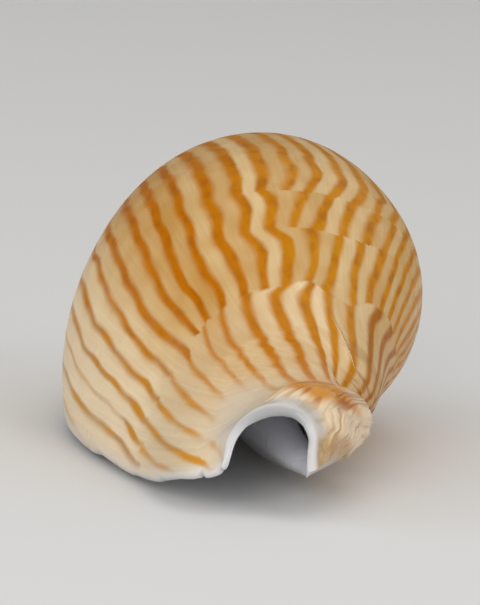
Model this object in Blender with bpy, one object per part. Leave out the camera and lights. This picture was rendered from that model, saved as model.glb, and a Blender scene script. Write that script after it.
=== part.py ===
"""Volute shell: one grown piece, lying on its aperture.

The shell is a single closed solid. Its outer margin is swept backwards along a logarithmic
spiral, each whorl smaller than the next by one fixed ratio, so every growth line has the same
shape at another size. A bridge rounds the lip and lays the callus over the last whorl, and the
hollow is the inner margin swept back by most of a turn.

The shell's own frame has the coiling axis on z with the apex at the top, the aperture facing -y
and the outer lip at +x. Lengths there are shares of AXIS_LENGTH. The finished shell is turned
into its resting position: anterior end towards -Y, spire towards +Y, +Z up.
"""
import bmesh
import bpy
import numpy as np
from mathutils import Matrix, Vector

# Driving dimensions
AXIS_LENGTH = 0.078          # m, from the apex of the spiral to its anterior end
WHORL_RATIO = 2.12           # how much larger each whorl is than the one before
APEX_ROUNDING = 0.030        # how blunt the protoconch is
SPIRE_TURNS = 3.5            # whorls modelled behind the lip
HOLLOW_TURNS = 0.86          # how far the hollow runs back from the aperture
REST_ROLL = 11.8             # degrees about the coiling axis, and
REST_PITCH = 10.5           # degrees with the spire end up, that the shell settles at on its lip

# Outer lip from the suture to the anterior corner: radius, azimuth in degrees, height
LIP = [
    (0.190, -47.5, -0.232),
    (0.222, -40.5, -0.307),
    (0.239, -35.5, -0.403),
    (0.249, -32.0, -0.513),
    (0.235, -29.5, -0.641),
    (0.200, -25.3, -0.768),
    (0.162, -19.1, -0.889),
    (0.123, -0.7, -0.995),
]
SUTURE_KNOT = 3              # margin point that the next whorl covers up to; the suture is point 0
SUTURE_LAG = 330.0           # degrees of growth from that point to the suture that lies on it

# Rim of the siphonal notch, from the lip's corner over the arch to the columella's tip: x, y, z
NOTCH = [
    (0.095, 0.018, -1.007),
    (0.0955, 0.041, -0.993),
    (0.0705, 0.080, -0.974),
    (0.0285, 0.087, -0.966),
    (0.0075, 0.0745, -0.983),
    (0.003, 0.0585, -1.004),
    (-0.0015, 0.0465, -1.018),
]

# Crest of the callus on the underside, from the columella's tip to the suture: x, y, z
CALLUS_CREST = [
    (-0.0045, 0.0235, -0.970),
    (-0.007, -0.0135, -0.860),
    (-0.0095, -0.048, -0.750),
    (-0.007, -0.080, -0.640),
    (-0.0015, -0.103, -0.540),
    (0.0035, -0.123, -0.440),
    (0.014, -0.140, -0.350),
    (0.036, -0.142, -0.262),
]

# Inner lip, where the callus turns into the aperture: x, y, z
INNER_LIP = [
    (-0.0005, 0.0215, -0.960),
    (0.010, -0.005, -0.860),
    (0.0255, -0.0415, -0.710),
    (0.043, -0.076, -0.560),
    (0.064, -0.102, -0.430),
    (0.084, -0.116, -0.330),
]
POSTERIOR_CORNER = (0.156, -52.0, -0.256)

# Wall thickness at points of the margin, counted from the suture: point, thickness
WALL = [(0, 0.021), (7, 0.021), (9, 0.012), (11, 0.013), (13, 0.014), (14, 0.013), (15, 0.013)]

# Degrees of growth behind the lip at which the callus ends on the last whorl, one for each
# margin point from SUTURE_KNOT to the columella's tip
CALLUS_LAG = [330, 316, 300, 284, 264, 238, 212, 190, 168, 140, 105, 60, 0]

# Fineness
ROW_STEP = 10.0              # degrees of growth between two rows
SPAN_SAMPLES = 2             # rows between two margin points
BRIDGE_ROWS = 3
NORMAL_SAMPLES = 10          # steps between two margin points where the wall's normal is measured
MERGE_DISTANCE = 0.00001     # m, between points of two grids that are one point


def spline(points, params, even=False):
    """Natural cubic spline through points, read at params, which count the points from 0."""
    points = np.asarray(points, float)
    params = np.asarray(params, float)
    count = len(points)
    gaps = np.ones(count - 1)
    if not even:
        gaps = np.linalg.norm(np.diff(points, axis=0), axis=1) ** 0.5
    matrix = np.eye(count)
    right = np.zeros_like(points)
    slope = np.diff(points, axis=0) / gaps[:, None]
    for i in range(1, count - 1):
        matrix[i, i - 1:i + 2] = gaps[i - 1], 2 * (gaps[i - 1] + gaps[i]), gaps[i]
        right[i] = 6 * (slope[i] - slope[i - 1])
    bend = np.linalg.solve(matrix, right)
    span = np.minimum(params.astype(int), count - 2)
    gap = gaps[span][:, None]
    after = (params - span)[:, None] * gap
    before = gap - after
    curved = (bend[span] * before ** 3 + bend[span + 1] * after ** 3) / (6 * gap)
    start = (points[span] / gap - bend[span] * gap / 6) * before
    end = (points[span + 1] / gap - bend[span + 1] * gap / 6) * after
    return curved + start + end


def polar(points):
    """Turn radius, azimuth in degrees and height into x, y, z."""
    radius, azimuth, height = np.asarray(points, float).T
    azimuth = np.radians(azimuth)
    return np.stack([radius * np.cos(azimuth), radius * np.sin(azimuth), height], axis=-1)


def grow(points, degrees):
    """Carry points of the margin to another growth stage: turned and scaled about the apex."""
    points = np.asarray(points, float)
    degrees = np.asarray(degrees, float)
    size = WHORL_RATIO ** (degrees / 360)
    cosine = np.cos(np.radians(-degrees))
    sine = np.sin(np.radians(-degrees))
    x = size * (cosine * points[..., 0] - sine * points[..., 1])
    y = size * (sine * points[..., 0] + cosine * points[..., 1])
    return np.stack([x, y, size * points[..., 2]], axis=-1)


def margin_knots():
    """Points of the outer margin, from the suture round the lip and the notch to the tip."""
    lip = polar(LIP)
    suture = grow(lip[SUTURE_KNOT - 1], -SUTURE_LAG)
    return np.vstack([suture, lip, NOTCH])


def units(vectors):
    return vectors / np.linalg.norm(vectors, axis=-1, keepdims=True)


def margin_frame(margin):
    """Growth direction and outward normal at each point of the margin."""
    growth = units(grow(margin, 1.0) - grow(margin, -1.0))
    along = np.gradient(margin, axis=0)
    return growth, units(np.cross(growth, along))


def hollow_knots(knots):
    """Closed inner margin: wall thickness inside the outer one, then back along the inner lip."""
    count = (len(knots) - 1) * NORMAL_SAMPLES + 1
    fine = spline(knots, np.arange(count) / NORMAL_SAMPLES)
    normal = margin_frame(fine)[1][::NORMAL_SAMPLES]
    places, walls = zip(*WALL)
    wall = np.interp(np.arange(len(knots)), places, walls)
    inside = knots - wall[:, None] * normal
    corner = polar([POSTERIOR_CORNER])
    return np.vstack([corner, inside[1:], INNER_LIP, corner])


def bridge_rows(outer, inner, growth, tip, crest):
    """Rows between the outer and the inner edge: a half circle on the lip, callus behind the tip."""
    rows = []
    middle = (outer + inner) / 2
    half = np.linalg.norm(outer - inner, axis=-1, keepdims=True) / 2
    reach = np.vstack([growth, np.zeros((len(outer) - tip - 1, 3))])
    top = middle + reach * half
    behind = len(outer) - tip
    crest = np.vstack([top[tip], crest, top[0]])
    top[tip:] = spline(crest, np.linspace(0, len(crest) - 1, behind + 1)[:-1])
    for row in range(1, BRIDGE_ROWS + 1):
        angle = np.pi * row / (BRIDGE_ROWS + 1)
        side = outer - middle
        circle = middle + side * np.cos(angle) + reach * half * np.sin(angle)
        share = row / (BRIDGE_ROWS + 1)
        arc = (2 * (share - 0.5) * (share - 1) * outer + 4 * share * (1 - share) * top
               + 2 * share * (share - 0.5) * inner)
        rows.append(np.vstack([circle[:tip + 1], arc[tip + 1:]]))
    return rows


class Sheet:
    """Collects grids of points as quads of one mesh."""

    def __init__(self):
        self.points = []
        self.faces = []

    def grid(self, rows, closed=False):
        base = len(self.points)
        rows = np.asarray(rows)
        count, width = rows.shape[:2]
        self.points.extend(rows.reshape(-1, 3).tolist())
        for i in range(count - 1):
            for j in range(width if closed else width - 1):
                k = (j + 1) % width
                corners = (i * width + j, i * width + k, (i + 1) * width + k, (i + 1) * width + j)
                self.faces.append([base + c for c in corners])


def shell_sheet():
    knots = margin_knots()
    last = len(knots) - 1
    margin = spline(knots, np.arange(last * SPAN_SAMPLES + 1) / SPAN_SAMPLES)
    growth = margin_frame(margin)[0]
    covered = SUTURE_KNOT * SPAN_SAMPLES
    tip = last * SPAN_SAMPLES
    sheet = Sheet()

    stages = np.arange(-SPIRE_TURNS * 360, ROW_STEP / 2, ROW_STEP)
    sheet.grid([grow(margin[:covered + 1], stage) for stage in stages])

    lag = spline([[value] for value in CALLUS_LAG],
                 np.arange(tip - covered + 1) / SPAN_SAMPLES, even=True)[:, 0]
    rows = int(round(SUTURE_LAG / ROW_STEP))
    sheet.grid([grow(margin[covered:], -lag * (1 - row / rows)) for row in range(rows + 1)])

    edge = grow(margin[covered:], -lag)
    outer = np.vstack([margin, edge[-2:0:-1]])
    inner_knots = hollow_knots(knots)
    spans = len(inner_knots) - 1 - last
    front = np.arange(tip + 1) / SPAN_SAMPLES
    back = last + spans * np.arange(1, tip - covered) / (tip - covered)
    inner = spline(inner_knots, np.concatenate([front, back]))
    bridge = bridge_rows(outer, inner, growth, tip, CALLUS_CREST)
    sheet.grid([outer] + bridge + [inner], closed=True)

    depths = np.linspace(0, -HOLLOW_TURNS * 360, int(HOLLOW_TURNS * 360 / ROW_STEP) + 1)
    sheet.grid([grow(inner, depth) for depth in depths], closed=True)
    return sheet


def close_ends(mesh):
    """Close the hollow's inner end and the protoconch, each with a fan about a new point."""
    loose = [edge for edge in mesh.edges if edge.is_boundary]
    filled = bmesh.ops.holes_fill(mesh, edges=loose)
    centres = bmesh.ops.poke(mesh, faces=filled["faces"])["verts"]
    apex = max(centres, key=lambda vert: vert.co.z)
    apex.co = (0, 0, -APEX_ROUNDING * AXIS_LENGTH)


def shell_mesh():
    sheet = shell_sheet()
    points = np.asarray(sheet.points)
    points[:, 2] = -np.sqrt(points[:, 2] ** 2 + APEX_ROUNDING ** 2)
    mesh = bmesh.new()
    verts = [mesh.verts.new(point) for point in points * AXIS_LENGTH]
    for face in sheet.faces:
        mesh.faces.new([verts[i] for i in face])
    bmesh.ops.remove_doubles(mesh, verts=mesh.verts, dist=MERGE_DISTANCE)
    close_ends(mesh)
    bmesh.ops.recalc_face_normals(mesh, faces=mesh.faces)
    bmesh.ops.triangulate(mesh, faces=mesh.faces)
    return mesh


def lay_down(mesh):
    """Turn the shell onto its aperture and centre it over the origin."""
    on_side = Matrix(((-1, 0, 0), (0, 0, 1), (0, 1, 0)))
    roll = Matrix.Rotation(np.radians(REST_ROLL), 3, "Y")
    pitch = Matrix.Rotation(np.radians(REST_PITCH), 3, "X")
    bmesh.ops.transform(mesh, matrix=(pitch @ roll @ on_side).to_4x4(), verts=mesh.verts)
    points = np.array([vert.co for vert in mesh.verts])
    low = points.min(axis=0)
    high = points.max(axis=0)
    origin = ((low[0] + high[0]) / 2, (low[1] + high[1]) / 2, low[2])
    bmesh.ops.translate(mesh, vec=-Vector(origin), verts=mesh.verts)


def porcelain():
    """The shell's own cream ground, glossy as porcelain."""
    material = bpy.data.materials.new("shell_cream")
    material.use_nodes = True
    surface = material.node_tree.nodes["Principled BSDF"]
    surface.inputs["Base Color"].default_value = (0.66, 0.48, 0.26, 1.0)
    surface.inputs["Roughness"].default_value = 0.22
    surface.inputs["Metallic"].default_value = 0.0
    return material


def clear_scene():
    for item in list(bpy.data.objects):
        bpy.data.objects.remove(item, do_unlink=True)


def main():
    clear_scene()
    mesh = shell_mesh()
    lay_down(mesh)
    data = bpy.data.meshes.new("shell")
    mesh.to_mesh(data)
    mesh.free()
    data.shade_smooth()
    data.materials.append(porcelain())
    shell = bpy.data.objects.new("shell", data)
    group = bpy.data.collections.new("volute_shell")
    bpy.context.scene.collection.children.link(group)
    group.objects.link(shell)


main()
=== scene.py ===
"""Volute shell, the visual model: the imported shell's growth rule at a finer pitch, and its colours.

The shell's own frame has the coiling axis on z with the apex at the top, and lengths there are shares
of AXIS_LENGTH. A point of the surface is known by its lag, in degrees of growth behind the lip, and its
span, which is its place along the margin: 0 at the suture, 9 at the lip's corner and 15 at the
columella's tip, then on along the callus. The stripes and the colours are worked out from these.
"""

import bmesh
import bpy
import numpy as np
from mathutils import Matrix, Vector


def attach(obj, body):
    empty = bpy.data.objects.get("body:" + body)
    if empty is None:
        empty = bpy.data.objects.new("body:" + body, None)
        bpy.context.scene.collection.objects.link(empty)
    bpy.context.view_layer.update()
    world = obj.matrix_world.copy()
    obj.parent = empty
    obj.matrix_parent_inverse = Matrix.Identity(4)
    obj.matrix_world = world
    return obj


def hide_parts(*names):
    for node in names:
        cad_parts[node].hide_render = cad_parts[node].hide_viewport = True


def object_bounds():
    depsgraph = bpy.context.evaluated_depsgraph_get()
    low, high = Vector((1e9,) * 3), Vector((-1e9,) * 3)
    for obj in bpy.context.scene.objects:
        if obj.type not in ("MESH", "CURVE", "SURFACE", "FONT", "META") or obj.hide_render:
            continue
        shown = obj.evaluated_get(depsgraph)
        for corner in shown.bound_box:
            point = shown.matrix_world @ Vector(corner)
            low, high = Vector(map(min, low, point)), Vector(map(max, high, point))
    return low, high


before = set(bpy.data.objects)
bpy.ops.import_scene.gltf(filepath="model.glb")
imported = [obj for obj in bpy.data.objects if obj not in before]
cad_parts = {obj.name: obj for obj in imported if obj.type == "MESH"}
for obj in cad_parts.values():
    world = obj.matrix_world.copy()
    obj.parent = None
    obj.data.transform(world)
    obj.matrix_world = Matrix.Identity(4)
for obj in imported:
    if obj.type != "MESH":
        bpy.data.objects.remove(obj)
cad_low, cad_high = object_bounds()

# ---------------------------------------------------------------- the shell's form, as in the solid
AXIS_LENGTH = 0.078          # metres, from the apex of the spiral to its anterior end
WHORL_RATIO = 2.12           # how much larger each whorl is than the one before
APEX_ROUNDING = 0.030        # how blunt the apex is
SPIRE_TURNS = 3.5            # whorls modelled behind the lip
HOLLOW_TURNS = 0.86          # how far the hollow runs back from the aperture
REST_ROLL = 11.8             # degrees about the coiling axis, and
REST_PITCH = 10.5            # degrees with the spire end up, that the shell settles at on its lip

# Outer lip from the suture to the anterior corner: radius, azimuth in degrees, height
LIP = [
    (0.190, -47.5, -0.232),
    (0.222, -40.5, -0.307),
    (0.239, -35.5, -0.403),
    (0.249, -32.0, -0.513),
    (0.235, -29.5, -0.641),
    (0.200, -25.3, -0.768),
    (0.162, -19.1, -0.889),
    (0.123, -0.7, -0.995),
]
SUTURE_KNOT = 3              # margin point that the next whorl covers up to; the suture is point 0
SUTURE_LAG = 330.0           # degrees of growth from that point to the suture that lies on it

# Rim of the siphonal notch, from the lip's corner over the arch to the columella's tip: x, y, z
NOTCH = [
    (0.095, 0.018, -1.007),
    (0.0955, 0.041, -0.993),
    (0.0705, 0.080, -0.974),
    (0.0285, 0.087, -0.966),
    (0.0075, 0.0745, -0.983),
    (0.003, 0.0585, -1.004),
    (-0.0015, 0.0465, -1.018),
]

# Crest of the callus on the underside, from the columella's tip to the suture: x, y, z
CALLUS_CREST = [
    (-0.0045, 0.0235, -0.970),
    (-0.007, -0.0135, -0.860),
    (-0.0095, -0.048, -0.750),
    (-0.007, -0.080, -0.640),
    (-0.0015, -0.103, -0.540),
    (0.0035, -0.123, -0.440),
    (0.014, -0.140, -0.350),
    (0.036, -0.142, -0.262),
]

# Inner lip, where the callus turns into the aperture: x, y, z
INNER_LIP = [
    (-0.0005, 0.0225, -0.960),
    (0.010, -0.005, -0.860),
    (0.0255, -0.0415, -0.710),
    (0.043, -0.076, -0.560),
    (0.064, -0.102, -0.430),
    (0.084, -0.116, -0.330),
]
POSTERIOR_CORNER = (0.156, -52.0, -0.256)
# Wall thickness at places along the margin
WALL = [(0, 0.018), (7, 0.015), (8.4, 0.010), (9.2, 0.0075), (9.8, 0.0085), (10.4, 0.011),
        (11, 0.0135), (12, 0.013), (13, 0.0115), (14, 0.011), (15, 0.012)]
# Degrees of growth behind the lip where the callus covers each knot of the margin, from the suture's on
CALLUS_LAG = [330, 316, 300, 284, 264, 238, 212, 190, 168, 140, 105, 60, 0]

# ---------------------------------------------------------------- what is too fine for the solid
# Chips in the lip's edge: place along the margin, width there, depth in degrees of growth
CHIPS = [(6.2, 0.02, 0.5), (7.4, 0.03, 0.6), (8.30, 0.035, 1.4), (8.36, 0.02, 0.9),
         (8.93, 0.035, 2.2), (9.02, 0.02, 1.2)]
# The lip's edge is also slightly uneven
UNEVEN_EDGE = 0.7            # degrees of growth, at most
UNEVEN_WAVES = 4.0           # for each place along the margin
UNEVEN_PLACES = ((3.0, 3.6), (14.0, 14.8))     # it begins and ends between these places
EDGE_FORGOTTEN = 12.0        # degrees behind the edge where nothing shows of it or of the chips
# Beside the notch glaze fills the corner that the lip's end leaves: from and to along the margin, and
# between which lags it grows in
FILLS = [((8.0, 10.7), (0.5, 7.0)), ((7.4, 10.9), (15.0, 45.0))]
FILL_EDGE_SHARE = 0.4        # its ends point along the margin by this share, and across by the rest
FILL_LAGS = (100.0, 130.0)   # it ends between these lags
FILL_AZIMUTHS = (78.0, 112.0)     # and between these azimuths, in degrees
FILL_MIDDLE = 9.3            # the place whose lag counts for the whole row
# How far, in degrees of growth, the growth lines of the fasciole run ahead of the margin
RECESS = [(10.0, 100.0), (10.6, 75.0), (11.0, 55.0), (11.5, 35.0), (12.0, 15.0), (12.3, 6.0), (12.6, 1.5),
          (13.0, 0.0), (15.0, 0.0)]
WRINKLE_HEIGHT = 0.00020     # metres, as the next two
FOLD_HEIGHT = 0.00010
CREASE_HEIGHT = 0.00016
# An old rest in growth left a crease on the base: place along the margin, degrees of growth behind the lip
CREASE = [(6.5, 108.0), (7.3, 109.0), (7.6, 110.2), (7.9, 113.6), (8.15, 121.5), (8.6, 137.5)]
# Further back the fasciole sinks towards the axis by this share: between places and between lags
SINK = 0.05
SINK_PLACES = ((9.2, 10.6), (12.2, 13.4))
SINK_LAGS = ((25.0, 55.0), (70.0, 98.0))

# ---------------------------------------------------------------- fineness of the visual mesh
ROW_STEP = 2.0               # degrees of growth
# Columns along the margin up to each place: suture, covered point, lip's corner, notch, tip
COLUMNS = [(0.0, 0), (3.0, 30), (9.0, 150), (10.3, 22), (12.6, 60), (15.0, 34)]
BRIDGE_ROWS = 9
HOLLOW_ROWS = 34
HOLLOW_CROWDING = 1.5        # the hollow's rows crowd towards the lip by this power
CALLUS_START = 0.12          # share of the callus over which the lip's round rim turns into it
MERGE_DISTANCE = 0.000004    # metres
# Lag, place and zone on the fans that close the apex and the hollow's inner end
APEX_GROWTH = (SPIRE_TURNS * 360, 1.5, 0.0)
HOLLOW_END_GROWTH = (HOLLOW_TURNS * 360, 5.0, 2.0)

# ---------------------------------------------------------------- the stripes
# Each stripe above the base: degrees of growth behind the lip, strength, warmth of the ground after it
STRIPES = [
    (4.5, 0.35, 0.1), (13.0, 0.70, 0.1), (19.5, 0.35, 0.1), (26.0, 0.65, 0.1), (33.4, 0.70, 0.1),
    (41.0, 0.65, 0.4), (47.6, 0.85, 0.7), (56.0, 0.80, 0.8), (63.2, 1.00, 0.9), (70.8, 0.80, 0.5),
    (79.7, 0.95, 0.7), (89.0, 0.75, 0.2), (98.0, 0.95, 0.7), (107.5, 0.65, 0.6), (115.8, 0.85, 0.2),
    (125.7, 0.75, 0.3), (135.0, 0.90, 0.6), (145.0, 0.75, 0.4), (153.5, 0.75, 0.6), (162.5, 0.70, 0.6),
    (171.0, 0.80, 0.4),
]
# The same on the base, where they start at the band's edge
BASE_STRIPES = [
    (-3.0, 0.50, 0.1), (6.5, 0.55, 0.1), (14.6, 0.75, 0.1), (23.6, 0.60, 0.2), (33.2, 0.55, 0.3),
    (43.0, 0.55, 0.3), (52.8, 0.50, 0.4), (61.0, 0.62, 0.3), (72.8, 0.85, 0.2), (85.8, 0.85, 0.2),
    (99.8, 0.85, 0.2), (111.0, 0.75, 0.3), (124.3, 0.75, 0.1), (142.0, 0.70, 0.5), (156.0, 0.70, 0.6),
    (169.0, 0.75, 0.5),
]
STRIPE_PITCH = 8.8           # degrees, on the older shell
BASE_PITCH = 12.5
STRIPE_END = 1300.0          # degrees behind the lip, past the apex
# Stripes that would come next, in front of the lip
NEXT_STRIPES = [(-12.0, 0.3, 0.1), (-4.0, 0.3, 0.1)]

# The whorl's spiral bands meet at these places along the margin, and nearer to the suture by these
# amounts at some lags
BAND_EDGES = (4.94, 5.69)
BAND_RISE = [(115, 0.0), (125, 0.05), (135, 0.13), (145, 0.30), (155, 0.42), (170, 0.55)]
# How far the bands move a stripe back, in degrees of growth: a column for each of these lags, and a row
# for each place along the margin
DRIFT_LAGS = (10, 33, 45, 60, 75, 89, 98, 107.5, 115.8, 125.7, 135, 145)
DRIFT = [
    (4.10, (0, 0, 0, 0, 0, 0, 0, 0, 0, 0, 0, 0)),
    (4.40, (-0.4, -0.4, 0.2, 0.2, 0.3, 1.2, 0.5, 1.5, 1.2, 0.8, 1.0, 1.0)),
    (4.60, (-0.9, -0.9, 0.0, 0.2, 0.1, 1.0, 0.0, 1.0, -0.3, -0.4, -0.8, -2.0)),
    (4.80, (-1.5, -1.5, -0.4, -0.1, -0.5, -0.5, -1.8, -1.5, -2.8, -2.5, -2.8, -3.5)),
    (4.939, (-2.0, -2.1, -0.8, -0.5, -0.9, -1.0, -3.0, -4.0, -4.8, -4.2, -4.5, -4.5)),
    (4.941, (-2.1, -2.1, -0.8, -0.5, -0.8, -0.9, -2.6, 2.5, 4.2, 3.8, 5.5, 6.5)),
    (5.10, (-2.8, -2.6, -1.5, -1.2, -1.0, 0.2, 0.0, 2.0, 3.2, 2.3, 4.0, 5.8)),
    (5.30, (-3.6, -3.2, -2.4, -2.1, -1.4, 0.0, 0.2, 0.0, 0.7, 0.8, 2.2, 4.2)),
    (5.50, (-4.3, -4.0, -3.2, -2.9, -2.4, -1.8, -2.5, -2.5, -0.8, -0.8, 1.2, 2.5)),
    (5.689, (-4.9, -4.8, -4.1, -3.8, -3.1, -3.0, -3.4, -5.5, -2.8, -2.2, 0.5, 0.0)),
    (5.691, (-5.0, -4.9, -4.2, -3.9, -3.2, -2.9, -3.0, 2.0, 5.2, 5.8, 7.0, 10.0)),
    (5.90, (-5.2, -5.5, -4.5, -4.3, -3.1, -1.2, 1.0, 2.5, 4.2, 5.0, 6.0, 8.6)),
    (6.10, (-5.5, -6.0, -4.6, -4.5, -2.9, -0.7, 0.5, 1.5, 2.7, 3.8, 5.0, 7.4)),
    (6.35, (-6.0, -6.0, -4.4, -4.2, -2.5, -2.3, -0.7, 1.2, 1.0, 2.8, 4.2, 6.2)),
    (6.55, (-8.0, -5.9, -3.9, -4.5, -3.2, -3.6, -1.7, -0.8, 0.3, 2.8, 3.7, 5.4)),
    (6.80, (-10.4, -7.4, -3.4, -5.4, -5.0, -5.0, -5.5, -6.0, -2.0, 2.2, 3.0, 4.6)),
]
# Further round the whorl the columns repeat in this order, with a step between them in degrees
DRIFT_REPEAT = (9, 7, 5, 10, 8, 2, 4, 11, 9, 7, 10)
REPEAT_STEP = 25.0
# The same on the base, at places along the margin and smoothed over a width, with its share at some lags
BASE_DRIFT = [(6.5, 6.0), (6.8, 2.5), (7.0, 0.0), (7.2, -2.4), (7.5, -4.9), (7.75, -7.7), (8.0, -10.7),
              (8.4, -14.2), (8.8, -19.0), (9.1, -22.8), (9.5, -27.8), (10.0, -33.5), (10.6, -39.5),
              (15.0, -58.0)]
BASE_SHARE = [(0, 0.85), (20, 0.95), (50, 1.0), (100, 1.0), (112, 0.9), (130, 0.75), (330, 0.75)]
DRIFT_SMOOTHING = 0.12
# How much further back the base's stripes flare at its edge, and the flare's share at some lags
EDGE_FLARE = [(6.60, 8.0), (6.65, 7.0), (6.75, 3.5), (6.82, 0.7), (6.9, 0.0)]
FLARE_SHARE = [(82, 0.0), (87, 1.0), (100, 0.8), (108, 0.3), (330, 0.4)]
# Where the base begins: degrees behind the lip, place along the margin
BASE_EDGE = [(0, 6.85), (36, 6.9), (43, 7.0), (48, 6.82), (58, 6.78), (67, 6.73), (75, 6.70), (84, 6.72),
             (92, 6.72), (98, 6.66), (107, 6.66), (112, 6.85), (125, 6.90), (140, 6.58), (155, 6.45),
             (330, 6.6)]


# ---------------------------------------------------------------- curves and growth
def read(table, place):
    """A table's value at a place, from its rows of place and value."""
    return np.interp(place, *zip(*table))


def spline(points, params, even=False):
    """Natural cubic spline through points, read at params, which count the points from 0."""
    points = np.asarray(points, float)
    params = np.asarray(params, float)
    count = len(points)
    gaps = np.ones(count - 1)
    if not even:
        gaps = np.linalg.norm(np.diff(points, axis=0), axis=1) ** 0.5
    matrix = np.eye(count)
    right = np.zeros_like(points)
    slope = np.diff(points, axis=0) / gaps[:, None]
    for i in range(1, count - 1):
        matrix[i, i - 1:i + 2] = gaps[i - 1], 2 * (gaps[i - 1] + gaps[i]), gaps[i]
        right[i] = 6 * (slope[i] - slope[i - 1])
    bend = np.linalg.solve(matrix, right)
    span = np.minimum(params.astype(int), count - 2)
    gap = gaps[span][:, None]
    after = (params - span)[:, None] * gap
    before = gap - after
    curved = (bend[span] * before ** 3 + bend[span + 1] * after ** 3) / (6 * gap)
    start = (points[span] / gap - bend[span] * gap / 6) * before
    end = (points[span + 1] / gap - bend[span + 1] * gap / 6) * after
    return curved + start + end


def polar(points):
    radius, azimuth, height = np.asarray(points, float).T
    azimuth = np.radians(azimuth)
    return np.stack([radius * np.cos(azimuth), radius * np.sin(azimuth), height], axis=-1)


def grow(points, degrees):
    """Carry points of the margin to another growth stage: turned and scaled about the apex."""
    points = np.asarray(points, float)
    degrees = np.asarray(degrees, float)
    size = WHORL_RATIO ** (degrees / 360)
    cosine = np.cos(np.radians(-degrees))
    sine = np.sin(np.radians(-degrees))
    x = size * (cosine * points[..., 0] - sine * points[..., 1])
    y = size * (sine * points[..., 0] + cosine * points[..., 1])
    return np.stack([x, y, size * points[..., 2]], axis=-1)


def margin_knots():
    lip = polar(LIP)
    suture = grow(lip[SUTURE_KNOT - 1], -SUTURE_LAG)
    return np.vstack([suture, lip, NOTCH])


def units(vectors):
    return vectors / np.linalg.norm(vectors, axis=-1, keepdims=True)


def growth_direction(margin):
    return units(grow(margin, 1.0) - grow(margin, -1.0))


def hollow_knots(knots):
    """Closed inner margin: wall thickness inside the outer one, then back along the inner lip."""
    samples = 10
    fine = spline(knots, np.arange((len(knots) - 1) * samples + 1) / samples)
    normal = units(np.cross(growth_direction(fine), np.gradient(fine, axis=0)))[::samples]
    inside = knots - read(WALL, np.arange(len(knots)))[:, None] * normal
    corner = polar([POSTERIOR_CORNER])
    return np.vstack([corner, inside[1:], INNER_LIP, corner])


def smooth_step(low, high, value):
    share = np.clip((np.asarray(value, float) - low) / (high - low), 0, 1)
    return share * share * (3 - 2 * share)


def between(rise, fall, value):
    """1 from the end of rise to the start of fall, with smooth flanks, and 0 outside them."""
    return smooth_step(*rise, value) * (1 - smooth_step(*fall, value))


def bridge_rows(outer, inner, growth, tip, behind):
    """Rows between the outer and the inner edge: a half circle on the lip, callus behind the tip.

    behind is 0 at the columella's tip and 1 back at the suture, one value for each point past tip.
    """
    middle = (outer + inner) / 2
    half = np.linalg.norm(outer - inner, axis=-1, keepdims=True) / 2
    top = middle.copy()
    top[:tip + 1] += growth * half[:tip + 1]
    crest = np.vstack([top[tip], CALLUS_CREST, top[0]])
    top[tip + 1:] = spline(crest, behind * (len(crest) - 1))
    flat = np.zeros((len(outer), 1))
    flat[tip + 1:, 0] = smooth_step(0.0, CALLUS_START, behind)
    rows = []
    for row in range(1, BRIDGE_ROWS + 1):
        share = row / (BRIDGE_ROWS + 1)
        angle = np.pi * share
        circle = middle + (outer - middle) * np.cos(angle) + (top - middle) * np.sin(angle)
        arc = (2 * (share - 0.5) * (share - 1) * outer + 4 * share * (1 - share) * top
               + 2 * share * (share - 0.5) * inner)
        rows.append(circle * (1 - flat) + arc * flat)
    return rows


# ---------------------------------------------------------------- the mesh
def lattice_noise(x, y, seed):
    """Smooth noise between -1 and 1 on a lattice of random values."""
    size = 256
    values = np.random.default_rng(seed).uniform(-1, 1, (size, size))
    x, y = np.broadcast_arrays(np.asarray(x, float), np.asarray(y, float))
    left = np.floor(x).astype(int)
    low = np.floor(y).astype(int)
    across = smooth_step(0.0, 1.0, x - left)
    up = smooth_step(0.0, 1.0, y - low)

    def row(index):
        start, end = values[left % size, index % size], values[(left + 1) % size, index % size]
        return start * (1 - across) + end * across

    return row(low) * (1 - up) + row(low + 1) * up


def bites(spans):
    """Degrees of growth missing from the margin's edge: its unevenness and its chips."""
    missing = UNEVEN_EDGE / 2 * (1 + lattice_noise(spans * UNEVEN_WAVES, 0.0, 3))
    missing = missing * between(*UNEVEN_PLACES, spans)
    for place, width, depth in CHIPS:
        missing = missing + depth * np.exp(-((spans - place) / width) ** 4)
    return missing


def hermite(share, start, leave, end, arrive):
    """Smooth curve from start to end that leaves and arrives along two vectors."""
    return ((2 * share ** 3 - 3 * share ** 2 + 1) * start + (share ** 3 - 2 * share ** 2 + share) * leave
            + (3 * share ** 2 - 2 * share ** 3) * end + (share ** 3 - share ** 2) * arrive)


def fill_beside_notch(rows, lags, spans):
    """Carry each row past the corner at the lip's end on one smooth curve, except at the edge itself."""
    rows = np.array(rows)
    for ends, grows in FILLS:
        first, last = np.searchsorted(spans, ends)
        part = slice(first, last + 1)
        start = rows[:, first]
        end = rows[:, last]
        length = np.linalg.norm(end - start, axis=-1, keepdims=True)
        straight = (1 - FILL_EDGE_SHARE) * units(end - start)
        leave = units(FILL_EDGE_SHARE * units(start - rows[:, first - 1]) + straight) * length
        arrive = units(FILL_EDGE_SHARE * units(rows[:, last + 1] - end) + straight) * length
        share = ((spans[part] - spans[first]) / (spans[last] - spans[first]))[None, :, None]
        curve = hermite(share, start[:, None], leave[:, None], end[:, None], arrive[:, None])
        azimuth = np.degrees(np.arctan2(rows[:, part, 1], rows[:, part, 0]))
        weight = between(grows, FILL_LAGS, lags)[:, None] * (1 - smooth_step(*FILL_AZIMUTHS, azimuth))
        rows[:, part] += weight[..., None] * (curve - rows[:, part])
    return rows


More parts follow.
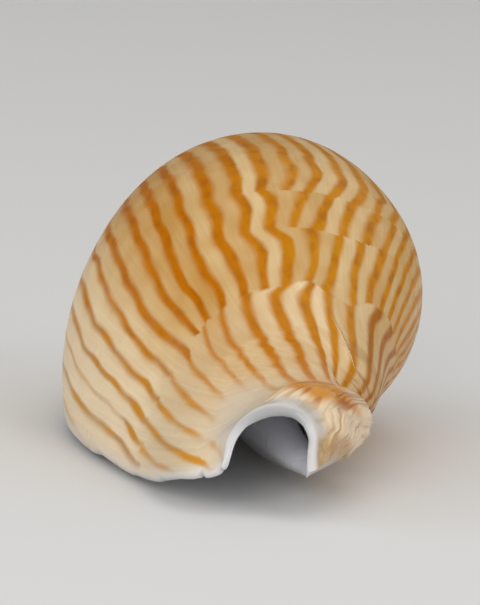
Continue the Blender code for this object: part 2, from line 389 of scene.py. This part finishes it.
def wrinkles(lag, span):
    """The fasciole's growth wrinkles and the folds that gather on the base, both about -1 to 1.

    The noises' factors are waves for each degree of growth and for each place along the margin.
    """
    line = lag - read(RECESS, span)
    line = line + 5.0 * lattice_noise(line * 0.06, span * 2.4, 21)
    ridges = 0.6 * lattice_noise(line * 0.17, span * 0.8, 22)
    ridges = ridges + 0.5 * lattice_noise(line * 0.36, span * 1.6, 23)
    scallops = lattice_noise(span * 4.2, lag * 0.10, 26)
    near = 1 - smooth_step(5.0, 14.0, lag)
    ridges = ridges * (1 - near) + scallops * near
    gather = span - 0.0035 * lag
    folds = 0.7 * lattice_noise(gather * 7.0, lag * 0.03, 24)
    folds = folds + 0.35 * lattice_noise(gather * 15.0, lag * 0.05, 25)
    return ridges, folds


def behind_crease(lag, span):
    """Degrees of growth behind the crease that an old rest in growth left on the base."""
    return lag - read(CREASE, span)


def relief(lag, span, zone):
    """Height of the wrinkles, the folds and the crease, in metres."""
    ridges, folds = wrinkles(lag, span)
    fasciole = between((10.4, 11.3), (14.0, 14.8), span) * smooth_step(1.0, 5.0, lag)
    base = between((7.0, 8.0), (9.4, 10.2), span) * smooth_step(80.0, 125.0, lag)
    crease = between((-5.0, 0.0), (0.0, 2.5), behind_crease(lag, span))
    crease = crease * between((6.7, 7.1), (8.6, 9.2), span)
    height = WRINKLE_HEIGHT * fasciole * ridges + FOLD_HEIGHT * base * folds + CREASE_HEIGHT * crease
    return height * (zone <= 0)


class Sheet:
    """Collects grids of points as quads of one mesh, each point with its lag, place and zone."""

    def __init__(self):
        self.points = []
        self.values = []
        self.faces = []
        self.count = 0

    def grid(self, rows, lag, span, zone, closed=False):
        rows = np.asarray(rows)
        count, width = rows.shape[:2]
        values = np.stack([np.broadcast_to(value, (count, width)) for value in (lag, span, zone)], axis=-1)
        self.points.append(rows.reshape(-1, 3))
        self.values.append(values.reshape(-1, 3))
        index = self.count + np.arange(count * width).reshape(count, width)
        turned = np.hstack([index, index[:, :1]]) if closed else index
        quads = np.stack([turned[:-1, :-1], turned[:-1, 1:], turned[1:, 1:], turned[1:, :-1]], axis=-1)
        self.faces.append(quads.reshape(-1, 4))
        self.count += count * width


def margin_places():
    """Places of the mesh's columns along the margin, from the suture to the columella's tip."""
    parts = [np.linspace(low, high, count + 1)[1:] for (low, _), (high, count) in zip(COLUMNS, COLUMNS[1:])]
    return np.concatenate([[0.0], *parts])


def add_spire(sheet, margin, places):
    """The whorls between the apex and the lip that no later growth covers."""
    stages = np.arange(-SPIRE_TURNS * 360, ROW_STEP / 2, ROW_STEP)
    sheet.grid([grow(margin, stage) for stage in stages], -stages[:, None], places, 0.0)


def add_whorl(sheet, plain, places, missing, reach):
    """The rest of the last whorl, from the callus, which lies reach behind the lip, to the lip's edge."""
    rows = int(round(SUTURE_LAG / ROW_STEP))
    behind = reach * (1 - np.arange(rows + 1)[:, None] / rows)
    lags = behind + missing * (1 - smooth_step(0.0, EDGE_FORGOTTEN, behind))
    middle = np.searchsorted(places, FILL_MIDDLE)
    whorl = fill_beside_notch([grow(plain, -row) for row in lags], behind[:, middle], places)
    sunk = SINK * between(*SINK_PLACES, places) * between(*SINK_LAGS, lags)
    whorl[..., :2] *= (1 - sunk)[..., None]
    sheet.grid(whorl, lags, places, 0.0)


def add_aperture(sheet, knots, outer, places, missing, reach):
    """The lip and the callus, from the outer edge to the inner one, and the hollow behind them."""
    tip = len(places) - 1
    last = len(knots) - 1
    behind = (last - places[-len(reach):][-2:0:-1]) / (last - SUTURE_KNOT)
    inner_knots = hollow_knots(knots)
    loop = np.concatenate([places, last + (len(inner_knots) - 1 - last) * behind])
    inner = grow(spline(inner_knots, loop), -np.concatenate([missing, 0 * behind]))
    growth = growth_direction(outer[:tip + 1])
    bridge = bridge_rows(outer, inner, growth, tip, behind)
    lag = np.concatenate([np.zeros(tip + 1), reach[-2:0:-1]])
    share = np.linspace(0, 1, BRIDGE_ROWS + 2)[:, None]
    sheet.grid([outer] + bridge + [inner], lag * (1 - share), loop, share, closed=True)

    depths = HOLLOW_TURNS * 360 * np.linspace(0, 1, HOLLOW_ROWS) ** HOLLOW_CROWDING
    hollow = fill_beside_notch([grow(inner, -depth) for depth in depths], depths, loop)
    sheet.grid(hollow, depths[:, None], loop, 1 + depths[:, None] / depths[-1], closed=True)


def shell_sheet():
    """The whole surface. Zone is 0 outside, 0 to 1 over the lip and the callus, and 1 to 2 inside."""
    knots = margin_knots()
    places = margin_places()
    missing = bites(places)
    margin = grow(spline(knots, places), -missing)
    covered = COLUMNS[1][1]
    plain = spline(knots, places[covered:])
    reach = spline([[value] for value in CALLUS_LAG], places[covered:] - SUTURE_KNOT, even=True)[:, 0]
    callus_edge = grow(plain, -reach)[-2:0:-1]
    sheet = Sheet()
    add_spire(sheet, margin[:covered + 1], places[:covered + 1])
    add_whorl(sheet, plain, places[covered:], missing[covered:], reach)
    add_aperture(sheet, knots, np.vstack([margin, callus_edge]), places, missing, reach)
    return sheet


# ---------------------------------------------------------------- markings
def stripe_places(listed, pitch, seed):
    """Places, strengths and warmths of a band's stripes from the lip back, continued by a rule."""
    chance = np.random.default_rng(seed)
    rows = NEXT_STRIPES + listed
    while rows[-1][0] < STRIPE_END:
        place = rows[-1][0] + pitch * chance.uniform(0.82, 1.18)
        rows.append((place, chance.uniform(0.65, 1.0), chance.uniform(0.1, 0.8)))
    return np.array(rows)


def read_stripes(places, place):
    """Phase, whole on the middle of each stripe, with the stripe's strength and the ground's warmth."""
    phase = np.interp(place, places[:, 0], np.arange(len(places), dtype=float))
    after = np.clip(np.floor(phase).astype(int), 0, len(places) - 1)
    return np.stack([phase, np.interp(place, places[:, 0], places[:, 1]), places[after, 2]], axis=-1)


def band_drift(lag, span):
    """How far the bands move a stripe, read between the rows and the columns of DRIFT."""
    spans = np.array([row[0] for row in DRIFT])
    table = np.array([row[1] for row in DRIFT])
    table = np.hstack([table, table[:, DRIFT_REPEAT]])
    repeats = REPEAT_STEP * np.arange(1, len(DRIFT_REPEAT) + 1)
    lags = np.concatenate([DRIFT_LAGS, DRIFT_LAGS[-1] + repeats])
    column = np.interp(lag, lags, np.arange(len(lags), dtype=float))
    row = np.interp(span, spans, np.arange(len(spans), dtype=float))
    left = np.minimum(column.astype(int), len(lags) - 2)
    top = np.minimum(row.astype(int), len(spans) - 2)
    across, down = column - left, row - top
    upper = table[top, left] * (1 - across) + table[top, left + 1] * across
    lower = table[top + 1, left] * (1 - across) + table[top + 1, left + 1] * across
    return upper * (1 - down) + lower * down


def stripes(lag, span):
    """The stripes above the base and on it, and how far a point is past the base's edge.

    Lag and span hold one row for each face, so that a face lies in one band from edge to edge.
    """
    # a slight sway of all stripes, in degrees of growth
    sway = 0.25 * np.sin(span * 5.1 + lag * 0.05) + 0.2 * np.sin(span * 9.7 - lag * 0.11)
    across = span + read(BAND_RISE, lag)
    band = np.searchsorted(BAND_EDGES, across.mean(axis=1))[:, None]
    edges = np.array([-1.0, *BAND_EDGES, 99.0])
    inside = 0.002
    across = np.clip(across, edges[band] + inside, edges[band + 1] - inside)
    upper = read_stripes(stripe_places(STRIPES, STRIPE_PITCH, 7), lag - band_drift(lag, across) + sway)
    # near the lip the stripes are bold just above the base
    bold = 0.45 * np.exp(-((span - 6.55) / 0.22) ** 2) * (1 - smooth_step(17, 24, lag))
    upper[..., 1] = np.minimum(upper[..., 1] + bold, 1.0)

    taps = (-DRIFT_SMOOTHING, 0.0, DRIFT_SMOOTHING)
    drift = sum(read(BASE_DRIFT, span + tap) for tap in taps) / len(taps) * read(BASE_SHARE, lag)
    drift = drift + read(EDGE_FLARE, span) * read(FLARE_SHARE, lag)
    base = read_stripes(stripe_places(BASE_STRIPES, BASE_PITCH, 11), lag - drift + sway)
    return upper, base, span - read(BASE_EDGE, lag)


# ---------------------------------------------------------------- the piece
def to_world(points):
    """Turn the shell onto its aperture, as it rests, and put it where the solid is."""
    on_side = Matrix(((-1, 0, 0), (0, 0, 1), (0, 1, 0)))
    roll = Matrix.Rotation(np.radians(REST_ROLL), 3, "Y")
    pitch = Matrix.Rotation(np.radians(REST_PITCH), 3, "X")
    points = points * AXIS_LENGTH @ np.array(pitch @ roll @ on_side).T
    low = points.min(axis=0)
    high = points.max(axis=0)
    place = (cad_low + cad_high) / 2
    return points + (place.x - (low[0] + high[0]) / 2, place.y - (low[1] + high[1]) / 2, cad_low.z - low[2])


def add_corner_values(mesh, name, values):
    """Keep three values for each corner of each face."""
    attribute = mesh.attributes.new(name, "FLOAT_VECTOR", "CORNER")
    attribute.data.foreach_set("vector", values.astype(np.float32).ravel())


def close_ends(bm):
    """Close the hollow's inner end and the apex, each with a fan about a new point, and return the apex's."""
    layer = bm.loops.layers.float_vector["growth"]
    loose = [edge for edge in bm.edges if edge.is_boundary]
    filled = bmesh.ops.holes_fill(bm, edges=loose)
    fans = bmesh.ops.poke(bm, faces=filled["faces"])
    apex = max(fans["verts"], key=lambda vert: vert.co.y)
    for face in fans["faces"]:
        for loop in face.loops:
            loop[layer] = APEX_GROWTH if apex in face.verts else HOLLOW_END_GROWTH
    return apex


def raise_relief(bm):
    """Move each point out along its normal by the relief kept with it."""
    bmesh.ops.recalc_face_normals(bm, faces=bm.faces)
    bm.normal_update()
    layer = bm.verts.layers.float["relief"]
    raised = [vert.co + vert.normal * vert[layer] for vert in bm.verts]
    for vert, place in zip(bm.verts, raised):
        vert.co = place


def build_shell():
    """The shell as one closed mesh, which keeps its growth and its stripes for the material."""
    sheet = shell_sheet()
    points = np.vstack(sheet.points)
    values = np.vstack(sheet.values)
    faces = np.vstack(sheet.faces)
    points[:, 2] = -np.sqrt(points[:, 2] ** 2 + APEX_ROUNDING ** 2)
    apex_point = to_world(np.vstack([points, (0, 0, -APEX_ROUNDING)]))[-1]
    points = to_world(points)
    lag, span = values[faces, 0], values[faces, 1]
    upper, base, below = stripes(lag, span)

    mesh = bpy.data.meshes.new("shell_visual")
    mesh.from_pydata(points.tolist(), [], faces.tolist())
    height = mesh.attributes.new("relief", "FLOAT", "POINT")
    height.data.foreach_set("value", relief(*values.T).astype(np.float32))
    add_corner_values(mesh, "growth", values[faces])
    add_corner_values(mesh, "upper", upper)
    add_corner_values(mesh, "base", base)
    add_corner_values(mesh, "crease", np.stack([behind_crease(lag, span)] * 3, axis=-1))
    add_corner_values(mesh, "texture", np.stack([below, *wrinkles(lag, span)], axis=-1))
    bm = bmesh.new()
    bm.from_mesh(mesh)
    bmesh.ops.remove_doubles(bm, verts=bm.verts, dist=MERGE_DISTANCE)
    apex = close_ends(bm)
    apex.co = apex_point
    raise_relief(bm)
    bm.to_mesh(mesh)
    bm.free()
    mesh.shade_smooth()
    shell = bpy.data.objects.new("shell_visual", mesh)
    bpy.context.scene.collection.objects.link(shell)
    return shell


# ---------------------------------------------------------------- materials
# The colours, as 8-bit red, green and blue
PAINTS = {
    "cream": (222, 194, 145),
    "cream by the lip": (229, 209, 176),
    "base": (237, 211, 168),
    "young base": (217, 189, 146),
    "old base": (221, 192, 144),
    "base by the lip": (213, 193, 160),
    "tan": (194, 147, 80),
    "side": (190, 128, 52),
    "ink": (186, 107, 2),
    "old ink": (199, 130, 4),
    "pale ink": (184, 144, 94),
    "dab": (197, 139, 46),
    "dark ink": (158, 86, 2),
    "base ink": (212, 142, 36),
    "brown ink": (146, 78, 22),
    "veil": (206, 193, 174),
    "growth line": (150, 110, 70),
    "fasciole": (230, 204, 168),
    "fasciole by the lip": (186, 182, 174),
    "fasciole's end": (196, 162, 106),
    "wrinkle": (192, 146, 100),
    # painted shade in the low parts of the wrinkles by the lip
    "painted shade in the wrinkles by the lip": (160, 150, 132),
    "patch": (206, 138, 36),
    "patch's wrinkle": (180, 100, 8),
    "patch's edge": (168, 98, 10),
    # darker brown for the low parts of the base's folds
    "dark brown in the folds": (150, 98, 60),
    # painted highlight along the crease, then painted shade behind it
    "crease": (236, 208, 166),
    "crease's shadow": (150, 92, 40),
    "glaze": (188, 180, 168),
    "lip": (208, 202, 194),
    "rim": (200, 198, 196),
    # the rim's grey with painted shade, for the arch
    "arch": (170, 169, 169),
    "inside": (244, 244, 250),
    "floor": (226, 225, 222),
    "light floor": (232, 231, 229),
}
HALF_STRIPE = 0.20           # half of the boldest stripe's width, in pitches
YOUNG_SIDE_FADE = 1.25       # how much softer than the other a stripe's younger side is
BASE_EDGE_REACH = 0.035      # half of the blur across the base's edge, in places along the margin
LINE_HEIGHT = 0.00004        # metres, of the finest growth lines


def paint(name):
    """Linear colour of one of the paints."""
    values = np.array(PAINTS[name]) / 255
    linear = np.where(values <= 0.04045, values / 12.92, ((values + 0.055) / 1.055) ** 2.4)
    return tuple(float(value) for value in linear)


class Graph:
    """Short names for the nodes of one material."""

    def __init__(self, name):
        self.material = bpy.data.materials.new(name)
        self.material.use_nodes = True
        self.nodes = self.material.node_tree.nodes
        self.links = self.material.node_tree.links
        self.surface = self.nodes["Principled BSDF"]

    def plug(self, socket, value):
        """Link another node's output to a socket, or set the socket to a constant."""
        if isinstance(value, bpy.types.NodeSocket):
            self.links.new(value, socket)
        elif isinstance(value, tuple) and len(value) == 3 and socket.type == "RGBA":
            socket.default_value = (*value, 1.0)
        else:
            socket.default_value = value

    def math(self, operation, first, second=0.0, third=0.0, clamp=False):
        node = self.nodes.new("ShaderNodeMath")
        node.operation = operation
        node.use_clamp = clamp
        for socket, value in zip(node.inputs, (first, second, third)):
            self.plug(socket, value)
        return node.outputs[0]

    def times(self, first, *others):
        """Product of two or more values."""
        for other in others:
            first = self.math("MULTIPLY", first, other)
        return first

    def blend(self, share, first, second):
        """Number between first and second."""
        return self.math("MULTIPLY_ADD", share, self.math("SUBTRACT", second, first), first)

    def step(self, value, low, high, start=0.0, end=1.0):
        """Smooth step of value from start at low to end at high."""
        node = self.nodes.new("ShaderNodeMapRange")
        node.interpolation_type = "SMOOTHSTEP"
        for name, given in (("Value", value), ("From Min", low), ("From Max", high),
                            ("To Min", start), ("To Max", end)):
            self.plug(node.inputs[name], given)
        return node.outputs["Result"]

    def between(self, value, rise, fall):
        """1 from the end of rise to the start of fall, with smooth flanks, and 0 outside them."""
        return self.times(self.step(value, *rise), self.step(value, *reversed(fall)))

    def mix(self, share, first, second, kind="MIX"):
        """Colour between first and second, or first multiplied by second."""
        node = self.nodes.new("ShaderNodeMix")
        node.data_type = "RGBA"
        node.blend_type = kind
        sockets = [socket for socket in node.inputs if socket.enabled]
        for name, given in (("Factor", share), ("A", first), ("B", second)):
            socket = next(item for item in sockets if item.name == name)
            self.plug(socket, given)
        return next(socket for socket in node.outputs if socket.enabled)

    def split(self, name):
        """The three values that the mesh keeps under a name."""
        attribute = self.nodes.new("ShaderNodeAttribute")
        attribute.attribute_name = name
        node = self.nodes.new("ShaderNodeSeparateXYZ")
        self.links.new(attribute.outputs["Vector"], node.inputs[0])
        return node.outputs

    def join(self, x, y):
        node = self.nodes.new("ShaderNodeCombineXYZ")
        self.plug(node.inputs["X"], x)
        self.plug(node.inputs["Y"], y)
        return node.outputs[0]

    def place(self):
        return self.nodes.new("ShaderNodeTexCoord").outputs["Object"]

    def noise(self, vector, scale, detail, rough=0.5):
        node = self.nodes.new("ShaderNodeTexNoise")
        self.links.new(vector, node.inputs["Vector"])
        node.inputs["Scale"].default_value = scale
        node.inputs["Detail"].default_value = detail
        node.inputs["Roughness"].default_value = rough
        return node.outputs["Fac"]

    def bump(self, height, distance, strength):
        node = self.nodes.new("ShaderNodeBump")
        node.inputs["Strength"].default_value = strength
        node.inputs["Distance"].default_value = distance
        self.links.new(height, node.inputs["Height"])
        return node.outputs["Normal"]


def stripe_marks(net, marks, wobble, fade, width, spread):
    """A band's stripes: the core, softer on its younger side, and the warm ground before it."""
    phase, strength, _ = marks
    offset = net.math("ADD", phase, wobble)
    signed = net.math("SUBTRACT", offset, net.math("ROUND", offset))
    half = net.times(strength, width, HALF_STRIPE)
    soft = net.times(fade, YOUNG_SIDE_FADE)
    before = net.math("SUBTRACT", net.times(half, -1.0), spread)
    young = net.step(signed, net.math("SUBTRACT", before, soft), net.math("ADD", before, soft))
    old = net.step(signed, net.math("SUBTRACT", half, fade), net.math("ADD", half, fade), 1.0, 0.0)
    core = net.times(young, old, net.step(strength, 0.15, 0.75, 0.45, 1.0))
    side = net.times(net.step(signed, 0.05, -0.08), net.step(signed, -0.12, -0.5, 1.0, 0.0))
    return core, net.times(side, net.step(strength, 0.4, 0.9, 0.0, 1.0))


class ShellPaint:
    """The shell's colour from its growth: a method for each feature, painted over what is there.

    Numbers beside lag are degrees, and those beside span are places along the margin. Zone is as in
    shell_sheet. Ridges and folds are low where they are negative.
    """

    def __init__(self, net):
        self.net = net
        self.lag, self.span, self.zone = net.split("growth")
        self.upper = net.split("upper")
        self.base = net.split("base")
        self.past_base, self.ridges, self.folds = net.split("texture")
        self.along = net.join(net.times(self.lag, 0.10), net.times(self.span, 2.0))
        self.dabs = net.noise(net.join(net.times(self.lag, 0.12), net.times(self.span, 1.7)), 1.0, 0.0)
        self.old = net.step(self.lag, 10.0, 60.0)
        self.find_base()
        self.find_stripes()

    def slanted(self, slope):
        """Lag, with the arch of the notch counted as older."""
        past = self.net.math("MAXIMUM", self.net.math("SUBTRACT", self.span, 9.2), 0.0)
        return self.net.math("MULTIPLY_ADD", past, slope, self.lag)

    def find_base(self):
        """Where the base's stripes take over, and where its ground does, which is softer near the lip."""
        net = self.net
        uneven = net.math("SUBTRACT", net.noise(self.along, 2.0, 2.0), 0.5)
        ragged = net.math("ADD", self.past_base, net.times(uneven, net.step(self.lag, 65.0, 45.0, 0.1, 0.5)))
        reach = net.step(self.lag, 60.0, 85.0, 0.3, BASE_EDGE_REACH)
        self.on_base = net.step(ragged, -BASE_EDGE_REACH, BASE_EDGE_REACH)
        self.turned = net.step(ragged, net.times(reach, -1.0), reach)

    def find_stripes(self):
        """Cores and sides of the stripes, which glaze veils beside the notch."""
        net = self.net
        wobble = net.math("MULTIPLY_ADD", net.noise(self.along, 1.0, 2.0), 0.14, -0.07)
        fade = net.step(net.noise(self.along, 0.7, 2.0), 0.3, 0.7, 0.08, 0.16)
        swell = net.step(self.dabs, 0.3, 0.7, -0.32, 0.14)
        width = net.step(self.lag, 65.0, 95.0, 1.0, 1.08)
        width = net.math("ADD", net.times(swell, net.step(self.lag, 60.0, 25.0)), width)
        spread = net.step(self.lag, 60.0, 90.0, 0.03, 0.09)
        core, side = stripe_marks(net, self.upper, wobble, fade, width, spread)
        base_core, base_side = stripe_marks(net, self.base, wobble, fade, width, spread)
        self.veiled = net.times(net.step(self.span, 7.7, 8.35), net.step(self.slanted(10.0), 42.0, 28.0),
                                net.step(self.lag, 5.0, 14.0))
        base_core = net.times(base_core, net.math("SUBTRACT", 1.0, net.times(self.veiled, 0.72)))
        base_side = net.times(base_side, net.math("SUBTRACT", 1.0, self.veiled))
        self.core = net.blend(self.on_base, core, base_core)
        self.side = net.blend(self.on_base, side, base_side)

    def ground(self):
        """Cream between the stripes, with tan where it is warm."""
        net = self.net
        on_base = net.mix(net.step(self.lag, 60.0, 100.0), paint("young base"), paint("base"))
        on_base = net.mix(net.step(self.lag, 104.0, 122.0), on_base, paint("old base"))
        by_lip = net.mix(self.turned, paint("cream by the lip"), paint("base by the lip"))
        cream = net.mix(self.old, by_lip, net.mix(self.turned, paint("cream"), on_base))
        patches = net.step(net.noise(self.along, 1.0, 1.0), 0.3, 0.7, -0.08, 0.16)
        warm = net.blend(self.turned, self.upper[2], self.base[2])
        warm = net.math("ADD", net.times(warm, 0.95), patches, clamp=True)
        ground = net.mix(net.times(warm, net.math("MULTIPLY_ADD", self.old, 0.7, 0.3)), cream, paint("tan"))
        return net.mix(net.times(self.side, 0.35), ground, paint("side"))

    def ink(self):
        """Colour of the stripes, from pale dabs by the lip to orange and brown."""
        net = self.net
        ink = net.mix(net.step(self.lag, 60.0, 115.0), paint("ink"), paint("old ink"))
        ink = net.mix(self.old, net.mix(net.step(self.dabs, 0.4, 0.6), paint("pale ink"), paint("dab")), ink)
        dark = net.step(net.noise(self.along, 1.6, 2.0), 0.4, 0.75)
        ink = net.mix(net.times(dark, net.math("MULTIPLY_ADD", self.old, 0.5, 0.1)), ink, paint("dark ink"))
        ink = net.mix(net.times(self.on_base, 0.25), ink, paint("base ink"))
        brown = net.step(self.lag, 118.0, 145.0, 0.0, 0.6)
        return net.mix(net.times(self.on_base, brown), ink, paint("brown ink"))

    def growth_lines(self, colour):
        net = self.net
        lines = net.noise(net.join(net.times(self.lag, 0.55), net.times(self.span, 0.35)), 1.0, 4.0, 0.6)
        return net.mix(net.step(lines, 0.3, 0.75, 0.0, 0.12), colour, paint("growth line"), "MULTIPLY")

    def fasciole(self, colour):
        """Cream with brown marks in the wrinkles' low parts and grey painted shade in them by the lip, an
        orange patch with a dark edge on top, and tan at its end.
        """
        net = self.net
        # the wrinkles' low parts: brown marks further back, painted shade by the lip
        wrinkle_marks_and_shade = net.times(net.step(self.ridges, -0.02, -0.34), net.step(self.lag, 2.0, 22.0, 0.6, 1.0))
        soft = net.mix(net.step(self.lag, 2.0, 14.0), paint("fasciole by the lip"), paint("fasciole"))
        fasciole = net.mix(net.step(self.span, 12.9, 13.8), soft, paint("fasciole's end"))
        marks_and_shade_colour = net.mix(net.step(self.lag, 3.0, 14.0), paint("painted shade in the wrinkles by the lip"), paint("wrinkle"))
        fasciole = net.mix(net.times(wrinkle_marks_and_shade, 0.7), fasciole, marks_and_shade_colour)
        slope = net.math("MULTIPLY_ADD", net.math("SUBTRACT", self.span, 11.3), 10.0, self.lag)
        patch = net.times(net.step(slope, 15.0, 24.0), net.step(self.lag, 76.0, 50.0))
        patch = net.times(patch, net.step(self.span, 12.1, 11.6))
        fasciole = net.mix(patch, fasciole, net.mix(wrinkle_marks_and_shade, paint("patch"), paint("patch's wrinkle")))
        colour = net.mix(net.step(self.span, 10.0, 10.7), colour, fasciole)
        line = net.times(net.between(self.span, (10.36, 10.46), (10.5, 10.62)),
                         net.between(self.lag, (30.0, 40.0), (58.0, 70.0)), 0.7)
        return net.mix(line, colour, paint("patch's edge"))

    def folds_of_base(self, colour):
        """Darker brown where the folds that gather at the base's end are low."""
        net = self.net
        folded = net.times(net.step(self.lag, 95.0, 130.0), net.step(self.span, 7.2, 8.0))
        return net.mix(net.times(folded, net.step(self.folds, 0.1, -0.3, 0.0, 0.55)), colour, paint("dark brown in the folds"))

    def crease(self, colour):
        """A pale line of painted highlight along the crease's ridge, with painted brown shade behind it."""
        net = self.net
        behind = net.split("crease")[0]
        on_crease = net.between(self.span, (7.1, 7.7), (8.6, 9.0))
        # painted shade: brown on the older side of the crease
        shadow = net.times(net.between(behind, (0.4, 1.2), (1.5, 4.5)), on_crease, 0.5)
        colour = net.mix(shadow, colour, paint("crease's shadow"))
        # painted highlight: a pale line along the crease's ridge
        line = net.times(net.between(behind, (-0.9, -0.2), (0.2, 0.9)), on_crease, 0.8)
        return net.mix(line, colour, paint("crease"))

    def edges(self, colour):
        """Glaze beside the notch, the pale lip, the grey rim, darker with painted shade over the arch, and
        the bluish white inside.
        """
        net = self.net
        glaze = net.times(net.step(self.span, 8.4, 9.2), net.step(self.slanted(8.0), 30.0, 8.0), 0.8)
        colour = net.mix(glaze, colour, paint("glaze"))
        colour = net.mix(net.step(self.lag, 4.0, 0.0, 0.0, 0.5), colour, paint("lip"))
        # painted shade: the rim is a darker grey over the arch, where it faces up
        rim = net.mix(net.between(self.span, (10.0, 10.9), (12.1, 12.9)), paint("rim"), paint("arch"))
        colour = net.mix(net.step(self.zone, 0.0, 0.3), colour, rim)
        return net.mix(net.step(self.zone, 0.8, 1.05), colour, paint("inside"))

    def colour(self):
        colour = self.net.mix(self.core, self.ground(), self.ink())
        colour = self.net.mix(self.net.times(self.veiled, 0.6), colour, paint("veil"))
        colour = self.fasciole(self.growth_lines(colour))
        return self.edges(self.crease(self.folds_of_base(colour)))

    def coat(self):
        """Gloss on the glazed parts: the notch, the fasciole, the callus and the lip."""
        net = self.net
        glossy = net.math("MAXIMUM", net.step(self.span, 9.0, 10.0), net.step(self.lag, 6.0, 1.0))
        return net.times(glossy, net.step(self.zone, 0.9, 0.6, 0.0, 0.5))

    def roughness(self):
        """Slightly uneven all over."""
        net = self.net
        return net.step(net.noise(net.place(), 300.0, 3.0), 0.3, 0.7, 0.26, 0.36)

    def normal(self):
        """Fine growth lines, too thin for the mesh."""
        net = self.net
        fine = net.noise(net.join(net.times(self.lag, 1.1), net.times(self.span, 0.5)), 1.0, 3.0, 0.6)
        return net.bump(net.times(fine, net.step(self.zone, 0.4, 0.0)), LINE_HEIGHT, 0.5)


def shell_material():
    net = Graph("shell_porcelain")
    skin = ShellPaint(net)
    net.plug(net.surface.inputs["Base Color"], skin.colour())
    net.plug(net.surface.inputs["Roughness"], skin.roughness())
    net.plug(net.surface.inputs["Coat Weight"], skin.coat())
    net.plug(net.surface.inputs["Normal"], skin.normal())
    net.surface.inputs["Metallic"].default_value = 0.0
    net.surface.inputs["IOR"].default_value = 1.45
    net.surface.inputs["Specular IOR Level"].default_value = 0.03
    net.surface.inputs["Coat Roughness"].default_value = 0.08
    return net.material


def floor_material():
    net = Graph("studio_floor")
    colour = net.mix(net.noise(net.place(), 2.0, 2.0), paint("floor"), paint("light floor"))
    net.plug(net.surface.inputs["Base Color"], colour)
    net.surface.inputs["Roughness"].default_value = 0.85
    return net.material


# ---------------------------------------------------------------- stage, lights, camera
FLOOR_REACH = 12.0


def add_floor():
    bm = bmesh.new()
    bmesh.ops.create_grid(bm, x_segments=1, y_segments=1, size=FLOOR_REACH)
    mesh = bpy.data.meshes.new("floor")
    bm.to_mesh(mesh)
    bm.free()
    floor = bpy.data.objects.new("floor", mesh)
    floor.location.z = cad_low.z
    mesh.materials.append(floor_material())
    bpy.context.scene.collection.objects.link(floor)


def add_light(name, place, target, size, watts):
    data = bpy.data.lights.new(name, "AREA")
    data.shape = "DISK"
    data.size = size
    data.energy = watts
    light = bpy.data.objects.new(name, data)
    light.location = place
    light.rotation_euler = (Vector(target) - Vector(place)).to_track_quat("-Z", "Y").to_euler()
    bpy.context.scene.collection.objects.link(light)


# Name, azimuth to the right and elevation as seen from the front, both in degrees, size, watts
LIGHTS = [
    ("front", -15, 15, 0.6, 5.4),
    ("left", -75, 20, 1.4, 5.2),
    ("right", 45, 15, 1.2, 4.6),
    ("top", 0, 75, 1.4, 3.6),
    ("back", 130, 50, 1.9, 4.6),
]
LIGHT_REACH = 1.1
WORLD_STRENGTH = 0.16


def heading(azimuth, down):
    """Unit vector to the back, turned by two angles in degrees: to the right and down."""
    azimuth, down = np.radians((azimuth, down))
    return Vector((np.sin(azimuth) * np.cos(down), np.cos(azimuth) * np.cos(down), -np.sin(down)))


def add_lights():
    middle = (cad_low + cad_high) / 2
    for name, azimuth, elevation, size, watts in LIGHTS:
        away = -heading(-azimuth, elevation)
        add_light(name, middle + away * LIGHT_REACH, middle, size, watts)
    world = bpy.data.worlds.new("studio")
    world.use_nodes = True
    background = world.node_tree.nodes["Background"]
    background.inputs["Color"].default_value = (1.0, 1.0, 1.0, 1.0)
    background.inputs["Strength"].default_value = WORLD_STRENGTH
    bpy.context.scene.world = world


CAMERA_PLACE = Vector((-0.0385, -0.5501, 0.0845))      # from the origin under the shell's middle
CAMERA_TURN = (4.29, 7.83, 5.10)                      # azimuth, degrees down, roll
CAMERA_LENS = 255.5
SENSOR_HEIGHT = 24.0
CAMERA_SHIFT = (-0.0670, 0.0815)


def add_camera():
    data = bpy.data.cameras.new("camera")
    data.sensor_fit = "VERTICAL"
    data.sensor_height = SENSOR_HEIGHT
    data.lens = CAMERA_LENS
    data.clip_end = 100.0
    camera = bpy.data.objects.new("camera", data)
    azimuth, down, roll = CAMERA_TURN
    forward = heading(azimuth, down)
    roll = np.radians(roll)
    right = forward.cross(Vector((0, 0, 1))).normalized()
    up = right.cross(forward)
    turned = right * np.cos(roll) + up * np.sin(roll)
    up = up * np.cos(roll) - right * np.sin(roll)
    reach = SENSOR_HEIGHT / CAMERA_LENS
    forward = (forward + turned * (CAMERA_SHIFT[0] * reach) + up * (CAMERA_SHIFT[1] * reach)).normalized()
    turned = (turned - forward * turned.dot(forward)).normalized()
    up = turned.cross(forward)
    matrix = Matrix((turned, up, -forward)).transposed().to_4x4()
    matrix.translation = CAMERA_PLACE
    camera.matrix_world = matrix
    bpy.context.scene.collection.objects.link(camera)
    bpy.context.scene.camera = camera


def main():
    scene = bpy.context.scene
    scene.view_settings.view_transform = "Standard"
    shell = build_shell()
    shell.data.materials.append(shell_material())
    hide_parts("shell")
    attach(shell, "root")
    add_floor()
    add_lights()
    add_camera()


main()
